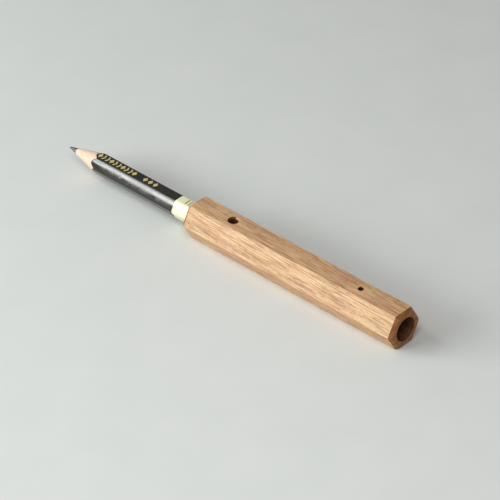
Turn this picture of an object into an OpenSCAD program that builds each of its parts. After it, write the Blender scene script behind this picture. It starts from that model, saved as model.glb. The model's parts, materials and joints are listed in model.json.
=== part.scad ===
// Hexagonal wooden pencil holder with a short, sharpened, lacquered pencil pushed into its front end.
// X runs along both, from the graphite point at -X to the holder's open rear end at +X.
// The holder lies on its bottom flat at z = 0, and the origin is under the middle of the overall length.

/* [Holder] */
// Length of the holder from face to face
holder_len = 100; // [80:1:140]
// Width of the holder across opposite flats
holder_flats = 14; // [13:0.5:18]
// Length of the front chamfer, along the holder
front_chamfer_len = 1.3; // [0.5:0.1:2]
// Length of the rear chamfer, along the holder
rear_chamfer_len = 1.2; // [0.5:0.1:2]
// How far both chamfers cut in from the flats
chamfer_in = 1; // [0.4:0.1:1.4]

/* [Bore] */
// Diameter of the front seat that guides the pencil
seat_d = 8.9; // [8.9:0.05:9.1]
// Depth of the front seat from the front face
seat_depth = 30; // [22:1:40]
// Diameter of the clearance bore behind the seat
rear_bore_d = 9.3; // [9.3:0.05:9.8]
// Easing of the front mouth's edge
front_mouth_ease = 0.3; // [0.1:0.05:0.5]
// Easing of the rear mouth's edge
rear_mouth_ease = 0.05; // [0.05:0.05:0.5]

/* [Side holes] */
// Diameter of the countersunk hole near the front
screw_hole_d = 3.4; // [2.6:0.1:4]
// Diameter of its countersink at the flat
countersink_d = 4.5; // [4.1:0.1:5]
// Distance of the countersunk hole from the front face
screw_hole_at = 19; // [18:0.5:24]
// Diameter of the cord hole near the rear
cord_hole_d = 2.1; // [1.5:0.1:3]
// Distance of the cord hole from the rear face
cord_hole_at = 20.4; // [10:0.1:30]

/* [Pencil] */
// Length of pencil that stands out of the holder
pencil_out = 67; // [50:1:120]
// Length of pencil inside the seat
pencil_in = 16; // [10:1:17]
// Width of the bare wooden core across flats
core_flats = 7.5; // [7.2:0.1:7.6]
// Diameter across the core's rounded corners
core_corner_d = 8.4; // [8.2:0.1:8.4]
// Thickness of the black lacquer
lacquer_t = 0.1; // [0.05:0.01:0.1]
// Thickness of the cream dip on top of the lacquer
dip_t = 0.1; // [0.03:0.01:0.1]
// Length of the cream dip that shows in front of the holder
dip_out = 8.6; // [4:0.1:12]
// Diameter of the graphite lead
lead_d = 2.5; // [1.8:0.1:3]
// Half-angle of the sharpened cone
sharpen_angle = 13; // [11:0.1:16]
// Diameter of the blunted end of the point
point_d = 0.5; // [0.2:0.05:0.6]

/* [Gold marks] */
// Thickness of the stamped gold foil
foil_t = 0.03; // [0.02:0.01:0.04]
// Distance from the front face to the nearer end of the long row
long_row_at = 30.9; // [29:0.1:31]
// Number of marks in the long row, every third one a lozenge
long_row_count = 10; // [4:3:10]
// Spacing of the marks in the long row
long_row_pitch = 2; // [1.8:0.1:2]
// Distance from the front face to the nearer end of the short row
short_row_at = 19.9; // [16:0.1:21]
// Number of lozenges in the short row
short_row_count = 3; // [1:1:3]
// Spacing of the lozenges in the short row
short_row_pitch = 2.6; // [2:0.1:2.8]
// Length of one lozenge, along the pencil
lozenge_len = 2; // [1.2:0.1:2]
// Height of every mark, across the flat
mark_h = 2.6; // [1.5:0.1:3]
// Width of one chevron's stroke, along the pencil
chevron_w = 0.7; // [0.4:0.1:0.8]
// How far a chevron's point stands ahead of its ends
chevron_bow = 0.6; // [0.2:0.1:0.8]
// Distance from the front face to the middle of the nearer grade bar
grade_bar_at = 2.9; // [2.5:0.1:5]
// Spacing of the two grade bars
grade_bar_pitch = 1.5; // [1:0.1:2]
// Width of one grade bar, along the pencil
grade_bar_w = 0.5; // [0.3:0.1:0.8]
// Length of one grade bar, across the flat
grade_bar_len = 2.9; // [1.5:0.1:3]

/* [Hidden] */
$fn = 96;
over = 1;
axis_z = holder_flats / 2;
front_x = (pencil_out - holder_len) / 2;
rear_x = front_x + holder_len;
tip_x = front_x - pencil_out;
pencil_end_x = front_x + pencil_in;
dip_front_x = front_x - dip_out;
dip_len = dip_out + pencil_in + dip_t;
cone_len = (core_corner_d + 2) / 2 / tan(sharpen_angle);
point_setback = point_d / 2 / tan(sharpen_angle);
lacquer_flats = core_flats + 2 * lacquer_t;
lacquer_corner_d = core_corner_d + 2 * lacquer_t;
dip_flats = lacquer_flats + 2 * dip_t;
dip_corner_d = lacquer_corner_d + 2 * dip_t;
// The foil lies on the pencil's top flat, and the grade bars on the dip over it.
lacquer_top_z = axis_z + lacquer_flats / 2;
dip_top_z = axis_z + dip_flats / 2;

// A round bar along X from x to x + len, on the common axis.
module axis_rod(x, len, d) {
    translate([x, 0, axis_z]) rotate([0, 90, 0]) cylinder(h = len, d = d);
}

// A round taper along X from x to x + len, on the common axis.
module axis_taper(x, len, d_start, d_end) {
    translate([x, 0, axis_z]) rotate([0, 90, 0]) cylinder(h = len, d1 = d_start, d2 = d_end);
}

// Hexagonal prism along X from x to x + len, flats up and down, on the common axis.
module hexagonal_rod(x, len, flats) {
    translate([x, 0, axis_z]) rotate([0, 90, 0]) rotate([0, 0, 30])
        cylinder(h = len, d = flats / cos(30), $fn = 6);
}

// The planed bar, drawn in over its end chamfers to a narrower hexagon at each face.
module hexagonal_bar() {
    end_flats = holder_flats - 2 * chamfer_in;
    body_len = holder_len - front_chamfer_len - rear_chamfer_len;
    hull() {
        hexagonal_rod(front_x, holder_len, end_flats);
        hexagonal_rod(front_x + front_chamfer_len, body_len, holder_flats);
    }
}

// Seat for the pencil, clearance bore behind it, and the eased edge of each mouth.
module lengthwise_bore() {
    axis_rod(front_x - over, seat_depth + over, seat_d);
    axis_rod(front_x + seat_depth - over, holder_len - seat_depth + 2 * over, rear_bore_d);
    axis_taper(front_x, front_mouth_ease, seat_d + 2 * front_mouth_ease, seat_d);
    axis_taper(rear_x - rear_mouth_ease, rear_mouth_ease, rear_bore_d, rear_bore_d + 2 * rear_mouth_ease);
}

// Hole through the upper wall near the front, with a 90 degree countersink at the flat.
module countersunk_hole() {
    countersink_depth = (countersink_d - screw_hole_d) / 2;
    translate([front_x + screw_hole_at, 0, axis_z]) cylinder(h = holder_flats, d = screw_hole_d);
    translate([front_x + screw_hole_at, 0, holder_flats - countersink_depth])
        cylinder(h = countersink_depth, d1 = screw_hole_d, d2 = countersink_d);
}

// Plain hole near the rear, drilled straight through both walls.
module cord_hole() {
    translate([rear_x - cord_hole_at, 0, -over]) cylinder(h = holder_flats + 2 * over, d = cord_hole_d);
}

module holder_body() {
    color([0.71, 0.56, 0.42])
        difference() {
            hexagonal_bar();
            lengthwise_bore();
            countersunk_hole();
            cord_hole();
        }
}

// Hexagonal pencil section along X, flats up and down, its corners rounded to one common circle.
module pencil_section(x, len, flats, corner_d) {
    intersection() {
        hexagonal_rod(x, len, flats);
        axis_rod(x, len, corner_d);
    }
}

// The space inside the sharpened cone, widening from the blunt point and then straight to the rear.
module sharpened_space() {
    axis_taper(tip_x, cone_len, point_d, point_d + 2 * cone_len * tan(sharpen_angle));
    axis_rod(tip_x + cone_len, pencil_end_x - tip_x - cone_len + over, core_corner_d + 2);
}

// Wooden core of the pencil as one piece, sharpened and bored for the lead.
module cored_wood() {
    difference() {
        intersection() {
            pencil_section(tip_x, pencil_end_x - tip_x, core_flats, core_corner_d);
            sharpened_space();
        }
        axis_rod(tip_x - over, pencil_end_x - tip_x + 2 * over, lead_d);
    }
}

// Half-space above the glue line, or below it.
module half_space(side) {
    translate([tip_x - over, -core_corner_d, axis_z - (side < 0 ? 2 * core_corner_d : 0)])
        cube([pencil_end_x - tip_x + 2 * over, 2 * core_corner_d, 2 * core_corner_d]);
}

module slat_upper() {
    color([0.94, 0.78, 0.62])
        intersection() {
            cored_wood();
            half_space(1);
        }
}

module slat_lower() {
    color([0.92, 0.76, 0.6])
        intersection() {
            cored_wood();
            half_space(-1);
        }
}

module graphite_lead() {
    color([0.3, 0.3, 0.31])
        intersection() {
            axis_rod(tip_x, pencil_end_x - tip_x, lead_d);
            sharpened_space();
        }
}

module black_lacquer() {
    color([0.06, 0.06, 0.06])
        difference() {
            intersection() {
                pencil_section(tip_x, pencil_end_x - tip_x, lacquer_flats, lacquer_corner_d);
                sharpened_space();
            }
            pencil_section(tip_x - over, pencil_end_x - tip_x + 2 * over, core_flats, core_corner_d);
        }
}

// The dip coats the sides of the last stretch, over the lacquer, and its closed end covers the wood.
module cream_dip() {
    color([0.93, 0.9, 0.74])
        difference() {
            pencil_section(dip_front_x, dip_len, dip_flats, dip_corner_d);
            pencil_section(dip_front_x - over, dip_len - dip_t + over, lacquer_flats, lacquer_corner_d);
        }
}

// Foil of one outline, lying on the top flat with its middle at x.
module foil_mark(x, outline) {
    translate([x, 0, lacquer_top_z]) linear_extrude(height = foil_t) polygon(outline);
}

module lozenge(x) {
    half_len = lozenge_len / 2;
    half_h = mark_h / 2;
    foil_mark(x, [[-half_len, 0], [0, -half_h], [half_len, 0], [0, half_h]]);
}

// A chevron across the flat, pointing to the rear.
module chevron(x) {
    half_w = chevron_w / 2;
    half_h = mark_h / 2;
    bow = chevron_bow / 2;
    foil_mark(x, [
        [-half_w - bow, -half_h], [half_w - bow, -half_h], [half_w + bow, 0],
        [half_w - bow, half_h], [-half_w - bow, half_h], [bow - half_w, 0]
    ]);
}

// The long row starts and ends with a lozenge, with two chevrons between one lozenge and the next.
module foil_long_row() {
    color([0.67, 0.58, 0.34])
        for (i = [0 : long_row_count - 1]) {
            x = front_x - long_row_at - lozenge_len / 2 - i * long_row_pitch;
            if (i % 3 == 0) lozenge(x); else chevron(x);
        }
}

module foil_short_row() {
    color([0.67, 0.58, 0.34])
        for (i = [0 : short_row_count - 1])
            lozenge(front_x - short_row_at - lozenge_len / 2 - i * short_row_pitch);
}

module grade_bars() {
    color([0.62, 0.5, 0.28])
        for (i = [0, 1])
            translate([front_x - grade_bar_at - i * grade_bar_pitch, 0, dip_top_z + foil_t / 2])
                cube([grade_bar_w, grade_bar_len, foil_t], center = true);
}

holder_body();
slat_upper();
slat_lower();
graphite_lead();
black_lacquer();
cream_dip();
foil_long_row();
foil_short_row();
grade_bars();
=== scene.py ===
import json
import math
import random

import bmesh
import bpy
from mathutils import Matrix, Vector, noise


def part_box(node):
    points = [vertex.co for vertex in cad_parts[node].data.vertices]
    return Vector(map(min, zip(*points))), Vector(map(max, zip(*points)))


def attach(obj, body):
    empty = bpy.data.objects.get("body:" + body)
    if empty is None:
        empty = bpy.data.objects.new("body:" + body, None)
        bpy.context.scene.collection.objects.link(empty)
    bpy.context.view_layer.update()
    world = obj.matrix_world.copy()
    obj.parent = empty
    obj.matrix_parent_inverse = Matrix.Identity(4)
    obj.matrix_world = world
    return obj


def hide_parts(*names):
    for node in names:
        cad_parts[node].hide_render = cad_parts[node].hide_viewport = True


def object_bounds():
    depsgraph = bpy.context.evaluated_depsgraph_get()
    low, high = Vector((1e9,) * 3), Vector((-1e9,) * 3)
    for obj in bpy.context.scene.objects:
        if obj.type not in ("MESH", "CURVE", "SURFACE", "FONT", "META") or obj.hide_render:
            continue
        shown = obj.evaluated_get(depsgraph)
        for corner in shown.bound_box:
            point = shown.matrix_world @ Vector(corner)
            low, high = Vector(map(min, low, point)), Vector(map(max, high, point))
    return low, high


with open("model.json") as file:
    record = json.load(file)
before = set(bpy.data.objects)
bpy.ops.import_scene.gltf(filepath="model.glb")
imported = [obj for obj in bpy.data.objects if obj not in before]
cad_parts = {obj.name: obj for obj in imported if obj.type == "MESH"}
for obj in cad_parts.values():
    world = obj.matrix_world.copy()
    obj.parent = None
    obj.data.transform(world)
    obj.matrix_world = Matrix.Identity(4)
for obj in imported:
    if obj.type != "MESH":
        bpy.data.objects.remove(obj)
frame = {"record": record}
cad_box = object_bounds()

# ---- The view
# The pencil and its holder lie on a desk, seen from the holder's open rear end, from above and to one side.
# A long lens almost a metre away keeps the edges nearly parallel.
mm = 0.001
AIM = (12.5 * mm, -2.3 * mm, 7 * mm)
AZIMUTH, ELEVATION, ROLL = math.radians(44.237), math.radians(36.017), math.radians(-1.212)
VIEW_DISTANCE = 0.8995

middle = (cad_box[0] + cad_box[1]) / 2
aim = Vector((middle.x, middle.y, 0)) + Vector(AIM)
back = Vector((math.sin(AZIMUTH) * math.cos(ELEVATION), -math.cos(AZIMUTH) * math.cos(ELEVATION),
               math.sin(ELEVATION)))
level_right = Vector((0, 0, 1)).cross(back).normalized()
level_up = back.cross(level_right)
right = level_right * math.cos(ROLL) + level_up * math.sin(ROLL)
up = level_up * math.cos(ROLL) - level_right * math.sin(ROLL)
camera_data = bpy.data.cameras.new("desk_view")
camera_data.sensor_width = 36
camera_data.lens = 181.86
camera_data.clip_start, camera_data.clip_end = 0.01, 20
camera = bpy.data.objects.new("desk_view", camera_data)
bpy.context.scene.collection.objects.link(camera)
turn = Matrix((right, up, back)).transposed()
camera.matrix_world = Matrix.Translation(aim + back * VIEW_DISTANCE) @ turn.to_4x4()
bpy.context.scene.camera = camera


# ---- Holder
# One bar of planed oak, hexagonal, its arrises just eased and both ends chamfered. It is bored right
# through: a close seat for the pencil in front, a wider bore behind it. A countersunk hole and a cord hole
# are drilled from the top flat. The walls of the bore and holes carry painted shade, a dark copy of the oak,
# and the hole rims on the side towards +X and +Y a paler lit copy, which is painted light.
SEAT_R, SEAT_DEPTH = 4.45 * mm, 30 * mm
CHAMFER_IN, FRONT_CHAMFER, REAR_CHAMFER = 1.0 * mm, 1.3 * mm, 1.2 * mm
ARRIS_R = 0.2 * mm
END_EASE, MOUTH_EASE = 0.14 * mm, 0.12 * mm
MOUTH_LIP = 0.4 * mm
COUNTERSINK_R = 2.25 * mm
COUNTERSINK_FLARE = 0.3 * mm
HOLE_EASE = 0.2 * mm
CUTTER_RISE = 1 * mm
# How far beyond a hole's wall the painted shade reaches.
SHADE_MARGIN = 0.05 * mm
BAR_STEP, BORE_STEP = 3 * mm, 4 * mm
PLANING_DEPTH = 0.015 * mm
WOOD_CREASE = math.radians(32)

holder_low, holder_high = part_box("holder_body")
mounts = {m["name"]: m for m in frame["record"]["mounts"]}
axis_z = (holder_low.z + holder_high.z) / 2
front_x, rear_x = holder_low.x, holder_high.x


def hexagon(half_flats, corner_r, face_shares, corner_steps):
    """One turn of (y, z) round the axis: six flats, the first on top, with a small arc at each corner."""
    half_face = (half_flats - corner_r) * math.tan(math.radians(30))
    centre_r = (half_flats - corner_r) / math.cos(math.radians(30))
    points = []
    for face in range(6):
        facing = math.radians(90 + 60 * face)
        normal = Vector((math.cos(facing), math.sin(facing)))
        along = Vector((-normal.y, normal.x))
        points += [normal * half_flats + along * half_face * share for share in face_shares]
        corner = facing + math.radians(30)
        centre = Vector((math.cos(corner), math.sin(corner))) * centre_r
        for step in range(1, corner_steps):
            angle = facing + math.radians(60) * step / corner_steps
            points.append(centre + Vector((math.cos(angle), math.sin(angle))) * corner_r)
    return points


def eased(outline, size, steps=4):
    """An open outline of (x, r) with each inner corner turned into a short curve."""
    points = [Vector(outline[0])]
    for before, corner, after in zip(outline, outline[1:], outline[2:]):
        corner = Vector(corner)
        start = corner + (Vector(before) - corner).normalized() * size
        end = corner + (Vector(after) - corner).normalized() * size
        for step in range(steps + 1):
            t = step / steps
            points.append(start * (1 - t) ** 2 + corner * 2 * t * (1 - t) + end * t ** 2)
    return points + [Vector(outline[-1])]


def stretched(outline, longest):
    """The same outline with long stretches divided, so that no step is longer than longest."""
    points = [Vector(outline[0])]
    for near, far in zip(outline, outline[1:]):
        parts = max(1, math.ceil((Vector(far) - Vector(near)).length / longest))
        points += [Vector(near).lerp(Vector(far), part / parts) for part in range(1, parts + 1)]
    return points


def loft(bm, loops, joined):
    """Quads between neighbouring closed loops. The last one joins the first, or both ends are capped."""
    rows = [[bm.verts.new(point) for point in loop] for loop in loops]
    for near, far in zip(rows, rows[1:] + (rows[:1] if joined else [])):
        for i in range(len(near)):
            j = (i + 1) % len(near)
            bm.faces.new((near[i], near[j], far[j], far[i]))
    if not joined:
        for row in (rows[0], rows[-1]):
            bm.faces.new(row)


def shade_smooth(bm, crease):
    """Smooth shading, with edges sharp where two faces meet at more than the crease angle."""
    for face in bm.faces:
        face.smooth = True
    for edge in bm.edges:
        edge.smooth = len(edge.link_faces) == 2 and edge.calc_face_angle(0) < crease


def made_piece(name, bm, materials, crease=WOOD_CREASE):
    """A smooth-shaded object made from bm, which is freed. Its faces are turned to point outwards."""
    bmesh.ops.recalc_face_normals(bm, faces=bm.faces)
    if bm.calc_volume(signed=True) < 0:
        bmesh.ops.reverse_faces(bm, faces=bm.faces)
    shade_smooth(bm, crease)
    mesh = bpy.data.meshes.new(name)
    bm.to_mesh(mesh)
    bm.free()
    for material in materials:
        mesh.materials.append(material)
    piece = bpy.data.objects.new(name, mesh)
    bpy.context.scene.collection.objects.link(piece)
    return piece


def put(tree, kind, inputs=None, **settings):
    """A node of that kind in the tree, its settings made and its inputs linked or given values."""
    made = tree.nodes.new(kind)
    for name, value in settings.items():
        setattr(made, name, value)
    for name, value in (inputs or {}).items():
        if isinstance(value, bpy.types.NodeSocket):
            tree.links.new(value, made.inputs[name])
        else:
            made.inputs[name].default_value = value
    return made


def figure(tree, operation, a, b=0.0):
    """The result of one sum on two values."""
    return put(tree, "ShaderNodeMath", {0: a, 1: b}, operation=operation).outputs[0]


def vector_figure(tree, operation, a, b):
    """The result of one sum on a vector, by another vector or by a scale."""
    second = "Scale" if operation == "SCALE" else 1
    return put(tree, "ShaderNodeVectorMath", {0: a, second: b}, operation=operation).outputs[0]


def between(tree, value, low, high, out_low=0.0, out_high=1.0):
    """A value eased from out_low to out_high as it passes from low to high."""
    return put(tree, "ShaderNodeMapRange",
               {"Value": value, "From Min": low, "From Max": high, "To Min": out_low, "To Max": out_high},
               interpolation_type="SMOOTHSTEP").outputs["Result"]


def toned(tree, share, first, second, blend="MIX"):
    """Two colours mixed by a share from 0 to 1."""
    mix = put(tree, "ShaderNodeMix", {0: share, 6: first, 7: second}, data_type="RGBA", blend_type=blend)
    return mix.outputs[2]


def clouds(tree, place, scale, detail):
    """Soft noise through the piece, from 0 to 1. The scale is in cells to the metre."""
    inputs = {"Vector": place.outputs["Object"], "Scale": scale, "Detail": detail}
    return put(tree, "ShaderNodeTexNoise", inputs).outputs[0]


def scored_rings(tree, place, scale, distortion, detail):
    """Fine rings round the axis, as a sharpener's blade leaves them."""
    inputs = {"Vector": place.outputs["Object"], "Scale": scale, "Distortion": distortion, "Detail": detail}
    return put(tree, "ShaderNodeTexWave", inputs, bands_direction="X").outputs["Fac"]


def relieve(tree, shader, height, strength, depth):
    """Fine relief on a surface, too small to be in its mesh."""
    relief = put(tree, "ShaderNodeBump", {"Height": height, "Strength": strength, "Distance": depth})
    tree.links.new(relief.outputs[0], shader.inputs["Normal"])


def new_group(name, inputs, outputs):
    """An empty shader node group with its sockets, and its input and output nodes."""
    tree = bpy.data.node_groups.new(name, "ShaderNodeTree")
    for label, kind in inputs.items():
        tree.interface.new_socket(label, in_out="INPUT", socket_type=kind)
    for label in outputs:
        tree.interface.new_socket(label, in_out="OUTPUT", socket_type="NodeSocketFloat")
    return tree, tree.nodes.new("NodeGroupInput"), tree.nodes.new("NodeGroupOutput")


def grain_group():
    """Wood in the round: year rings about a far pith, fine streaks, pores as short dashes, and patches.

    Place is in metres along the fibre in X, and everything else is in millimetres or per millimetre.
    """
    vectors = dict.fromkeys(("Place", "Pith"), "NodeSocketVector")
    sizes = dict.fromkeys(("Ring Spacing", "Waviness", "Streak Scale", "Pore Scale", "Pore Share"),
                          "NodeSocketFloat")
    tree, given, results = new_group("wood_grain", {**vectors, **sizes},
                                     ("Rings", "Streaks", "Pores", "Patches"))
    place = vector_figure(tree, "SCALE", given.outputs["Place"], 1000.0)
    slow = vector_figure(tree, "MULTIPLY", place, (0.02, 0.13, 0.13))
    wave = put(tree, "ShaderNodeTexNoise", {"Vector": slow, "Scale": 1.0, "Detail": 2.0}).outputs["Color"]
    shift = vector_figure(tree, "SCALE", vector_figure(tree, "SUBTRACT", wave, (0.5, 0.5, 0.5)),
                          given.outputs["Waviness"])
    warped = vector_figure(tree, "ADD", place, shift)
    outward = vector_figure(tree, "MULTIPLY", vector_figure(tree, "SUBTRACT", warped, given.outputs["Pith"]),
                            (0.0, 1.0, 1.0))
    radius = put(tree, "ShaderNodeVectorMath", {0: outward}, operation="LENGTH").outputs["Value"]
    phase = figure(tree, "FRACT", figure(tree, "DIVIDE", radius, given.outputs["Ring Spacing"]))
    fading = between(tree, phase, 0.15, 0.75, 1.0, 0.0)
    rings = figure(tree, "MULTIPLY", fading, between(tree, phase, 0.0, 0.15))
    along = vector_figure(tree, "MULTIPLY", warped, (0.025, 1.0, 1.0))
    streaks = put(tree, "ShaderNodeTexNoise", {"Vector": along, "Scale": given.outputs["Streak Scale"],
                                               "Detail": 2.0, "Roughness": 0.6}).outputs[0]
    dashed = vector_figure(tree, "MULTIPLY", warped, (0.11, 1.0, 1.0))
    cells = put(tree, "ShaderNodeTexNoise", {"Vector": dashed, "Scale": given.outputs["Pore Scale"],
                                             "Detail": 1.0, "Roughness": 0.5}).outputs[0]
    crowding = figure(tree, "MULTIPLY", given.outputs["Pore Share"], figure(tree, "ADD", rings, 0.6))
    limit = figure(tree, "SUBTRACT", 0.7, crowding)
    pores = put(tree, "ShaderNodeMapRange",
                {"Value": cells, "From Min": limit, "From Max": figure(tree, "ADD", limit, 0.08)},
                interpolation_type="SMOOTHSTEP").outputs["Result"]
    broad = vector_figure(tree, "MULTIPLY", warped, (0.035, 0.22, 0.22))
    patches = put(tree, "ShaderNodeTexNoise", {"Vector": broad, "Scale": 1.6, "Detail": 2.0}).outputs[0]
    for label, value in (("Rings", rings), ("Streaks", streaks), ("Pores", pores), ("Patches", patches)):
        tree.links.new(value, results.inputs[label])
    return tree


wood_grain = grain_group()


def new_material(name):
    """A node material with an empty Principled shader, and the object's own coordinates."""
    material = bpy.data.materials.new(name)
    material.use_nodes = True
    tree = material.node_tree
    shader = tree.nodes["Principled BSDF"]
    return material, tree, shader, put(tree, "ShaderNodeTexCoord")


def oak(name, straw, rose, dark, pore_tone, end_tone, roughness):
    """Bare oak between two light tones, darker where it is cut across the grain."""
    material, tree, shader, place = new_material(name)
    lean = (0.0, math.radians(-1.1), math.radians(1.8))
    leaning = put(tree, "ShaderNodeMapping", {"Vector": place.outputs["Object"], "Rotation": lean})
    grain = put(tree, "ShaderNodeGroup", node_tree=wood_grain)
    tree.links.new(leaning.outputs[0], grain.inputs["Place"])
    for label, value in (("Pith", (0.0, 24.0, -34.0)), ("Ring Spacing", 2.9), ("Waviness", 1.1),
                         ("Streak Scale", 3.3), ("Pore Scale", 3.6), ("Pore Share", 0.08)):
        grain.inputs[label].default_value = value
    rings, streaks, pores, patches = (grain.outputs[n] for n in ("Rings", "Streaks", "Pores", "Patches"))
    body = toned(tree, between(tree, patches, 0.4, 0.7), (*straw, 1), (*rose, 1))
    ringed = toned(tree, figure(tree, "MULTIPLY", rings, 0.2), body, (*dark, 1))
    streaked = toned(tree, between(tree, streaks, 0.42, 0.64, 0.0, 0.85), ringed, (*dark, 1))
    facing = put(tree, "ShaderNodeSeparateXYZ", {0: place.outputs["Normal"]})
    across = figure(tree, "ABSOLUTE", facing.outputs["X"])
    ringed_end = toned(tree, figure(tree, "MULTIPLY", rings, 0.5), streaked, (*dark, 1))
    ends = toned(tree, 1.0, ringed_end, (*end_tone, 1), "MULTIPLY")
    shaded = toned(tree, between(tree, across, 0.2, 0.62), streaked, ends)
    tree.links.new(toned(tree, figure(tree, "MULTIPLY", pores, 0.6), shaded, (*pore_tone, 1)),
                   shader.inputs["Base Color"])
    tree.links.new(between(tree, streaks, 0.3, 0.7, roughness, roughness + 0.16), shader.inputs["Roughness"])
    height = figure(tree, "SUBTRACT", figure(tree, "MULTIPLY", streaks, 0.5), pores)
    relieve(tree, shader, height, 0.5, 0.05 * mm)
    shader.inputs["Specular IOR Level"].default_value = 0.35
    return material


planed_oak = oak("planed_oak", (0.715, 0.465, 0.25), (0.67, 0.39, 0.225), (0.35, 0.165, 0.08),
                 (0.27, 0.115, 0.055), (0.57, 0.375, 0.19), 0.42)
# Painted shade: a much darker copy of the oak, for the walls of the bore and the drilled holes.
painted_shade_oak = oak("painted_shade_oak", (0.155, 0.07, 0.025), (0.13, 0.052, 0.018), (0.085, 0.034, 0.012),
                  (0.05, 0.018, 0.008), (0.8, 0.7, 0.6), 0.55)
# Painted light: a paler copy of the oak for the hole rims on the side towards +X and +Y, where the window
# lights them, beside the painted shade.
lit_rim_oak = oak("lit_rim_oak", (0.54, 0.38, 0.25), (0.50, 0.33, 0.21), (0.36, 0.21, 0.12),
                  (0.3, 0.15, 0.08), (1.0, 0.96, 0.9), 0.5)

FACE_SHARES = (-1, -0.97, -0.6, -0.2, 0.2, 0.6, 0.97, 1)
ARRIS_STEPS = 4
half_flats = (holder_high.z - holder_low.z) / 2
end_half = half_flats - CHAMFER_IN
rear_bore_r = mounts["rear_bore"]["dims"]["r_mm"] * mm
turn_angles = [math.atan2(z, y) for y, z in hexagon(half_flats, ARRIS_R, FACE_SHARES, ARRIS_STEPS)]


def planed(x, angle):
    """How far the plane dug below the true flat there, never above it."""
    return PLANING_DEPTH * (0.5 + 0.5 * noise.noise((x * 60, math.cos(angle) * 1.5, math.sin(angle) * 1.5)))


def bar_ring(x, half):
    points = hexagon(half, ARRIS_R, FACE_SHARES, ARRIS_STEPS)
    ring = []
    for (y, z), angle in zip(points, turn_angles):
        kept = 1 - planed(x, angle) / half
        ring.append((x, y * kept, axis_z + z * kept))
    return ring


def bore_ring(x, radius):
    return [(x, radius * math.cos(a), axis_z + radius * math.sin(a)) for a in turn_angles]


outside = stretched(eased([
    (front_x, end_half - CHAMFER_IN), (front_x, end_half), (front_x + FRONT_CHAMFER, half_flats),
    (rear_x - REAR_CHAMFER, half_flats), (rear_x, end_half), (rear_x, end_half - CHAMFER_IN)
], END_EASE), BAR_STEP)
inside = stretched(eased([
    (rear_x, rear_bore_r + MOUTH_LIP), (rear_x, rear_bore_r), (front_x + SEAT_DEPTH, rear_bore_r),
    (front_x + SEAT_DEPTH, SEAT_R), (front_x, SEAT_R), (front_x, SEAT_R + MOUTH_LIP)
], MOUTH_EASE), BORE_STEP)
bm = bmesh.new()
loft(bm, [bar_ring(x, r) for x, r in outside] + [bore_ring(x, r) for x, r in inside], joined=True)
# The bore's faces get the second material, the painted-shade copy of the oak.
for face in bm.faces:
    centre = face.calc_center_median()
    off_axis = math.hypot(centre.y, centre.z - axis_z)
    face.material_index = int(off_axis < rear_bore_r + 0.01 * mm)
holder = made_piece("oak_holder", bm, [planed_oak, painted_shade_oak, lit_rim_oak])


def drill(piece, at, outline, shade_radius, steps=48):
    """Cuts the piece with a drill of that turned outline of (r, z), upright over the point at.

    The wall out to the radius given as the fourth argument gets painted shade, a dark copy of the oak.
    A countersink or eased rim outside that has painted shade too, except on the side towards +X and +Y,
    which gets painted light, a paler lit copy of the oak.
    """
    bm = bmesh.new()
    turns = [2 * math.pi * i / steps for i in range(steps)]
    loft(bm, [[(at[0] + r * math.cos(a), at[1] + r * math.sin(a), z) for a in turns] for r, z in outline],
         joined=False)
    for face in bm.faces:
        reach = max(math.hypot(v.co.x - at[0], v.co.y - at[1]) for v in face.verts)
        centre = face.calc_center_median()
        # Painted light and shade: rim faces towards +X and +Y beyond the wall radius get the lit copy of the
        # oak, all other faces the painted-shade copy.
        pale = centre.x - at[0] + centre.y - at[1] > reach * 0.5
        face.material_index = 2 if pale and reach > shade_radius else 1
    bit = made_piece("bit", bm, [planed_oak, painted_shade_oak, lit_rim_oak])
    cut = piece.modifiers.new("drilled", "BOOLEAN")
    cut.operation, cut.solver, cut.object, cut.material_mode = "DIFFERENCE", "EXACT", bit, "TRANSFER"
    bpy.context.view_layer.update()
    whole = piece.data
    piece.data = bpy.data.meshes.new_from_object(piece.evaluated_get(bpy.context.evaluated_depsgraph_get()))
    piece.modifiers.clear()
    bpy.data.meshes.remove(whole)
    bpy.data.objects.remove(bit)


screw_r = mounts["screw_hole"]["dims"]["r_mm"] * mm
cord_r = mounts["cord_hole"]["dims"]["r_mm"] * mm
top_z = holder_high.z
drill(holder, mounts["screw_hole"]["pos_m"], [
    (screw_r, axis_z), (screw_r, top_z - (COUNTERSINK_R - screw_r) - PLANING_DEPTH),
    (COUNTERSINK_R, top_z - PLANING_DEPTH), (COUNTERSINK_R + COUNTERSINK_FLARE, top_z + 0.1 * mm),
    (COUNTERSINK_R + COUNTERSINK_FLARE, top_z + CUTTER_RISE)
], screw_r + SHADE_MARGIN)
drill(holder, mounts["cord_hole"]["pos_m"], [
    (cord_r + HOLE_EASE, -CUTTER_RISE), (cord_r + HOLE_EASE, -0.05 * mm), (cord_r, 0.1 * mm),
    (cord_r, top_z - 0.1 * mm), (cord_r + HOLE_EASE, top_z + 0.05 * mm),
    (cord_r + HOLE_EASE, top_z + CUTTER_RISE)
], cord_r + SHADE_MARGIN)
bm = bmesh.new()
bm.from_mesh(holder.data)
shade_smooth(bm, WOOD_CREASE)
bm.to_mesh(holder.data)
bm.free()
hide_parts("holder_body")
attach(holder, "holder")


# ---- Pencil casing
# Two half slats of pale incense cedar, grooved for the lead and glued face to face, then shaped to a hexagon.
# A hand sharpener has cut the front to a cone and left fine scored rings on it.
CORE_CORNER_R = 0.8 * mm
CONE_STEPS = 10
GROOVE_STEP = 30 * mm
PENCIL_SHARES = (-1, -0.75, -0.5, -0.25, 0, 0.25, 0.5, 0.75, 1)
PENCIL_ARC_STEPS = 8
CROWN = 0.055 * mm

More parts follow.
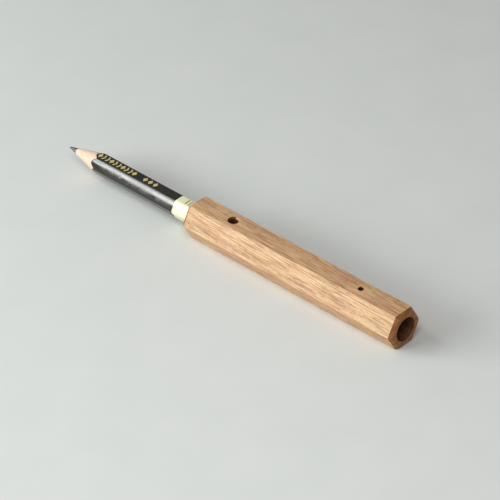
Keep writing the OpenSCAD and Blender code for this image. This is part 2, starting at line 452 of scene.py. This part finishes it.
core_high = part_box("slat_upper")[1]
lead_low, lead_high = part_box("graphite_lead")
lacquer_low, lacquer_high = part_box("black_lacquer")
pencil_end_x = core_high.x
core_half = core_high.z - axis_z
lead_r = (lead_high.z - lead_low.z) / 2
tip_x = lead_low.x
POINT_R = 0.25 * mm
sharpening = (core_half - POINT_R) / (lacquer_low.x - tip_x)


def crown_drop(y, half):
    """How far a crowned face has fallen, at that distance from its middle line."""
    return CROWN * min(1, abs(y) / (half * math.tan(math.radians(30)))) ** 2


def pencil_section(half, corner_r):
    """The pencil's hexagon, each face very slightly crowned as sanding and paint leave it."""
    points = []
    for y, z in hexagon(half, corner_r, PENCIL_SHARES, PENCIL_ARC_STEPS):
        from_face = math.radians((math.degrees(math.atan2(z, y)) - 90 + 30) % 60 - 30)
        points.append(Vector((y, z)) * (1 - crown_drop(half * math.tan(from_face), half) / half))
    return points


def cone_x(radius):
    """Where the sharpened cone has that radius."""
    return tip_x + (radius - POINT_R) / sharpening


def spot(x, point):
    """The place at x that lies at that (y, z) from the axis."""
    return Vector((x, point.x, axis_z + point.y))


def cedar():
    """Fresh-cut incense cedar, with sharpener rings."""
    material, tree, shader, place = new_material("incense_cedar")
    grain = put(tree, "ShaderNodeGroup", node_tree=wood_grain)
    tree.links.new(place.outputs["Object"], grain.inputs["Place"])
    for label, value in (("Pith", (0.0, 18.0, -22.0)), ("Ring Spacing", 0.9), ("Waviness", 0.6),
                         ("Streak Scale", 5.0), ("Pore Scale", 7.0), ("Pore Share", 0.06)):
        grain.inputs[label].default_value = value
    rings, streaks, pores = (grain.outputs[n] for n in ("Rings", "Streaks", "Pores"))
    body = toned(tree, figure(tree, "MULTIPLY", rings, 0.4), (0.81, 0.60, 0.47, 1), (0.74, 0.50, 0.36, 1))
    fibred = toned(tree, between(tree, streaks, 0.45, 0.75, 0.0, 0.35), body, (0.58, 0.36, 0.24, 1))
    tree.links.new(toned(tree, figure(tree, "MULTIPLY", pores, 0.3), fibred, (0.5, 0.3, 0.2, 1)),
                   shader.inputs["Base Color"])
    score = scored_rings(tree, place, 900.0, 1.2, 2.0)
    height = figure(tree, "ADD", figure(tree, "MULTIPLY", score, 0.3), streaks)
    relieve(tree, shader, height, 0.3, 0.04 * mm)
    tree.links.new(between(tree, streaks, 0.3, 0.7, 0.55, 0.75), shader.inputs["Roughness"])
    return material


incense_cedar = cedar()
core = pencil_section(core_half, CORE_CORNER_R)


def casing_loop(point):
    """The outline of the casing in one plane through the axis: groove, cone, side and rear end."""
    radius = point.length
    groove = point.normalized() * lead_r
    edge_x = cone_x(radius)
    shares = [step / CONE_STEPS for step in range(CONE_STEPS + 1)]
    cone = [spot(cone_x(lead_r + (radius - lead_r) * share), groove.lerp(point, share)) for share in shares]
    side = [spot(edge_x + (pencil_end_x - edge_x) * share, point) for share in (0.02, 0.3, 0.6, 1)]
    rear = [spot(pencil_end_x, groove), spot(cone_x(lead_r) + GROOVE_STEP, groove)]
    return cone + side + rear


# Known fault: in the lower half, the point at 180 degrees sorts first instead of last. So that mesh lacks
# a sliver of 0.1 mm along one corner, and a flat fold crosses the lead in the glued plane.
for name, side in (("slat_upper", 1), ("slat_lower", -1)):
    half = sorted((p for p in core if p.y * side > -1e-9), key=lambda p: math.atan2(p.y * side, p.x))
    bm = bmesh.new()
    loft(bm, [casing_loop(point) for point in half], joined=False)
    casing = made_piece("cedar_" + name, bm, [incense_cedar])
    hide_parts(name)
    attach(casing, "pencil")


# ---- Lead
# A fired rod of graphite and clay, 2.5 mm thick, glued in the casing's groove. The sharpener has turned
# its end to a point that writing has blunted a little.
def graphite():
    material, tree, shader, place = new_material("graphite")
    specks = clouds(tree, place, 3500.0, 3.0)
    rings = scored_rings(tree, place, 1400.0, 1.5, 2.0)
    tree.links.new(toned(tree, specks, (0.07, 0.07, 0.075, 1), (0.2, 0.2, 0.2, 1)),
                   shader.inputs["Base Color"])
    tree.links.new(between(tree, specks, 0.3, 0.7, 0.3, 0.5), shader.inputs["Roughness"])
    relieve(tree, shader, figure(tree, "ADD", specks, figure(tree, "MULTIPLY", rings, 0.4)), 0.3, 0.02 * mm)
    shader.inputs["Metallic"].default_value = 0.45
    return material


lead_outline = [(tip_x, 0.08 * mm), (tip_x + 0.04 * mm, 0.17 * mm), (tip_x + 0.15 * mm, POINT_R),
                (cone_x(0.35 * mm), 0.35 * mm), (cone_x(0.7 * mm), 0.7 * mm), (cone_x(lead_r), lead_r),
                (pencil_end_x, lead_r)]
LEAD_SIDES = 40
lead_turns = [2 * math.pi * i / LEAD_SIDES for i in range(LEAD_SIDES)]
bm = bmesh.new()
loft(bm, [[(x, r * math.cos(a), axis_z + r * math.sin(a)) for a in lead_turns] for x, r in lead_outline],
     joined=False)
lead = made_piece("graphite_point", bm, [graphite()], crease=math.radians(60))
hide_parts("graphite_lead")
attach(lead, "pencil")


# ---- Lacquer
# Several coats of glossy black lacquer over the cedar. The sharpener has cut them on the cone, which left
# a scalloped edge, cut back furthest at the corners, with tiny chips.
CHIP = 0.12 * mm
CUT_LIP = 0.15
CUT_OVERHANG, CUT_EASE = 0.03 * mm, 0.05 * mm
LACQUER_EXTRA_R = 0.08 * mm


def lacquer_finish():
    material, tree, shader, place = new_material("black_lacquer")
    long_way = vector_figure(tree, "MULTIPLY", place.outputs["Object"], (40.0, 550.0, 550.0))
    wood_lines = put(tree, "ShaderNodeTexNoise", {"Vector": long_way, "Scale": 1.0, "Detail": 2.0})
    smears = clouds(tree, place, 260.0, 4.0)
    tree.links.new(toned(tree, smears, (0.010, 0.010, 0.007, 1), (0.024, 0.021, 0.015, 1)),
                   shader.inputs["Base Color"])
    tree.links.new(between(tree, smears, 0.35, 0.7, 0.06, 0.14), shader.inputs["Roughness"])
    relieve(tree, shader, wood_lines.outputs[0], 0.5, 0.016 * mm)
    shader.inputs["Specular IOR Level"].default_value = 0.65
    return material


lacquer_half = lacquer_high.z - axis_z
lacquer_outside = pencil_section(lacquer_half, CORE_CORNER_R + LACQUER_EXTRA_R)


def lacquer_loop(index):
    """The coat's outline in one plane through the axis, from the cut edge on the cone to the rear end."""
    inner, outer = core[index], lacquer_outside[index]
    chip = CHIP * max(0, noise.noise((index * 0.9, 3.1, 0.0)))
    start = cone_x(outer.length) + chip
    length = pencil_end_x - start
    lip = outer.lerp(inner, CUT_LIP)
    cut = [spot(cone_x(inner.length), inner), spot(start - CUT_OVERHANG, lip), spot(start + CUT_EASE, outer)]
    side = [spot(start + length * share, outer) for share in (0.1, 0.3, 0.5, 0.7, 0.9, 1)]
    return cut + side + [spot(pencil_end_x, inner), spot(start + length * 0.5, inner)]


bm = bmesh.new()
loft(bm, [lacquer_loop(index) for index in range(len(core))], joined=True)
coat = made_piece("lacquer_coat", bm, [lacquer_finish()])
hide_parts("black_lacquer")
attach(coat, "pencil")


# ---- Cream dip
# The rear end is dipped in thick cream paint, which covers the end and leaves a soft, slightly wavy rim
# where it ran to a stop on the lacquer.
RIM = 0.35 * mm
RIM_RISE = ((0.1, 0.45), (0.3, 0.75), (0.6, 0.93))
DIP_STEPS = 8
DIP_EXTRA_R = 0.45 * mm
RIM_WAVE = 0.08 * mm

dip_low, dip_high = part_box("cream_dip")
dip_half = dip_high.z - axis_z


def cream_paint():
    material, tree, shader, place = new_material("cream_paint")
    pooled = clouds(tree, place, 330.0, 2.0)
    tree.links.new(toned(tree, pooled, (0.79, 0.76, 0.47, 1), (0.85, 0.83, 0.58, 1)),
                   shader.inputs["Base Color"])
    tree.links.new(between(tree, pooled, 0.3, 0.7, 0.16, 0.28), shader.inputs["Roughness"])
    relieve(tree, shader, pooled, 0.3, 0.08 * mm)
    return material


dip_outside = pencil_section(dip_half, CORE_CORNER_R + DIP_EXTRA_R)


def dip_ring(x, rise, inset=0.0):
    """The dip's section at x, from the lacquer's at rise 0 to the paint's at rise 1, drawn in by inset."""
    ring = []
    for index, (under, over) in enumerate(zip(lacquer_outside, dip_outside)):
        point = under.lerp(over, rise)
        wave = RIM_WAVE * noise.noise((index * 0.13, 7.7, 0.0)) * (1 - rise)
        ring.append(spot(x + abs(wave), point * (1 - inset / dip_half)))
    return ring


end_inset = dip_half * 0.9
dip_even = dip_high.x - dip_low.x - 2 * RIM
dip_rings = [dip_ring(pencil_end_x, 0, end_inset), dip_ring(pencil_end_x, 0), dip_ring(dip_low.x, 0)]
dip_rings += [dip_ring(dip_low.x + RIM * share, rise) for share, rise in RIM_RISE]
dip_rings += [dip_ring(dip_low.x + RIM + dip_even * step / DIP_STEPS, 1) for step in range(DIP_STEPS + 1)]
dip_rings += [dip_ring(dip_high.x - RIM * (1 - math.sin(a)), 1, RIM * (1 - math.cos(a)))
              for a in (math.radians(25), math.radians(50), math.radians(75), math.radians(90))]
dip_rings.append(dip_ring(dip_high.x, 1, end_inset))
bm = bmesh.new()
loft(bm, dip_rings, joined=False)
dip = made_piece("cream_end_dip", bm, [cream_paint()], crease=math.radians(50))
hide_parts("cream_dip")
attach(dip, "pencil")


# ---- Gold marks
# Gold foil, hot-stamped on the top face: a long row of lozenges with two chevrons in each gap, and a short
# row of lozenges. Two bars are stamped on the dip. The foil follows the crowned face, and its edges are a
# little ragged.
FOIL_T = 0.03 * mm
LOZENGE_LEN, LOZENGE_TIP = 2.0 * mm, 0.16 * mm
CHEVRON_W, CHEVRON_BOW = 0.7 * mm, 0.6 * mm
LONG_COUNT, LONG_PITCH = 10, 2.0 * mm
SHORT_COUNT, SHORT_PITCH = 3, 2.6 * mm
BAR_W = 0.5 * mm
RAGGED = 0.03 * mm
pressing = random.Random(5)


def gold_foil(name, bright, deep):
    material, tree, shader, place = new_material(name)
    patches = clouds(tree, place, 1300.0, 3.0)
    tree.links.new(toned(tree, between(tree, patches, 0.35, 0.65), (*deep, 1), (*bright, 1)),
                   shader.inputs["Base Color"])
    tree.links.new(between(tree, patches, 0.3, 0.7, 0.32, 0.5), shader.inputs["Roughness"])
    relieve(tree, shader, patches, 0.3, 0.02 * mm)
    shader.inputs["Metallic"].default_value = 0.55
    return material


bright_foil = gold_foil("bright_foil", (1.0, 0.84, 0.42), (0.85, 0.67, 0.29))
aged_foil = gold_foil("aged_foil", (0.62, 0.42, 0.2), (0.4, 0.25, 0.11))


def stamp(bm, x, height, outline, half, steps=14):
    """Foil on the top face round x. The outline gives its two ends for a share from -1 to 1 of its height."""
    loops = []
    for step in range(steps + 1):
        share = 2 * step / steps - 1
        y = share * height / 2
        front, rear = (end + pressing.uniform(-RAGGED, RAGGED) for end in outline(share))
        under = axis_z + half - crown_drop(y, half)
        loops.append([(x + front, y, under), (x + rear, y, under),
                      (x + rear, y, under + FOIL_T), (x + front, y, under + FOIL_T)])
    loft(bm, loops, joined=False)


def lozenge(share):
    reach = max(LOZENGE_TIP, LOZENGE_LEN * (1 - abs(share))) / 2
    return -reach, reach


def chevron(share):
    middle = CHEVRON_BOW * (0.5 - abs(share))
    return middle - CHEVRON_W / 2, middle + CHEVRON_W / 2


def bar(share):
    return -BAR_W / 2, BAR_W / 2


def stamped(name, node, marks, half, foil):
    """One piece of foil for a node: marks are the middle of each mark and its outline."""
    low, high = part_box(node)
    bm = bmesh.new()
    for x, outline in marks:
        stamp(bm, x, high.y - low.y, outline, half)
    piece = made_piece(name, bm, [foil])
    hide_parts(node)
    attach(piece, "pencil")


long_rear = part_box("foil_long_row")[1].x - LOZENGE_LEN / 2
short_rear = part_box("foil_short_row")[1].x - LOZENGE_LEN / 2
bars_low, bars_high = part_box("grade_bars")
stamped("foil_marks_long", "foil_long_row",
        [(long_rear - i * LONG_PITCH, chevron if i % 3 else lozenge) for i in range(LONG_COUNT)],
        lacquer_half, bright_foil)
stamped("foil_marks_short", "foil_short_row",
        [(short_rear - i * SHORT_PITCH, lozenge) for i in range(SHORT_COUNT)], lacquer_half, bright_foil)
stamped("grade_bar_marks", "grade_bars",
        [(bars_low.x + BAR_W / 2, bar), (bars_high.x - BAR_W / 2, bar)], dip_half, aged_foil)


# ---- Desk and light
# A plain sheet of pale paper, with soft daylight from a low, wide window. The window and its glaring sill
# show as a bright band in the lacquer. The dim wall below it, the sky above and a pale wall near the desk
# fill the shadows.
def paper():
    material, tree, shader, place = new_material("pale_paper")
    tooth = clouds(tree, place, 900.0, 4.0)
    mottle = clouds(tree, place, 45.0, 6.0)
    tree.links.new(toned(tree, mottle, (0.685, 0.70, 0.69, 1), (0.75, 0.755, 0.745, 1)),
                   shader.inputs["Base Color"])
    relieve(tree, shader, tooth, 0.15, 0.1 * mm)
    shader.inputs["Roughness"].default_value = 0.9
    shader.inputs["Specular IOR Level"].default_value = 0.2
    return material


bm = bmesh.new()
bmesh.ops.create_grid(bm, x_segments=8, y_segments=8, size=1.5)
floor = made_piece("desk_paper", bm, [paper()])
floor.location = (middle.x, middle.y, -0.02 * mm)


def window(name, bearing, height, distance, size, power, colour):
    """A soft light facing the object from that bearing, -Y round to -X, and height, both in degrees."""
    data = bpy.data.lights.new(name, "AREA")
    data.shape, data.size, data.size_y = "RECTANGLE", size[0], size[1]
    data.energy, data.color = power, colour
    lamp = bpy.data.objects.new(name, data)
    a, e = math.radians(bearing), math.radians(height)
    away = Vector((-math.sin(a) * math.cos(e), -math.cos(a) * math.cos(e), math.sin(e)))
    lamp.location = aim + away * distance
    lamp.rotation_euler = away.to_track_quat("Z", "Y").to_euler()
    bpy.context.scene.collection.objects.link(lamp)


window("window_sky", 37, 22.5, 1.1, (1.05, 0.34), 9.7, (0.92, 1.0, 0.97))
window("window_glare", 37, 12.9, 1.1, (1.05, 0.045), 1.9, (1.0, 1.0, 1.0))
window("wall_below", 37, 8, 1.1, (1.05, 0.15), 0.35, (1.0, 0.97, 0.93))
window("sky_above", 58, 46, 1.0, (0.5, 0.4), 1.8, (0.95, 1.0, 0.96))
window("near_wall", -44, 55, 0.56, (0.25, 0.25), 0.9, (1.0, 1.0, 1.0))

room = bpy.data.worlds.new("room")
room.use_nodes = True
room.node_tree.nodes["Background"].inputs["Color"].default_value = (1.0, 0.98, 0.94, 1)
room.node_tree.nodes["Background"].inputs["Strength"].default_value = 0.25
bpy.context.scene.world = room
bpy.context.scene.view_settings.view_transform = "Standard"
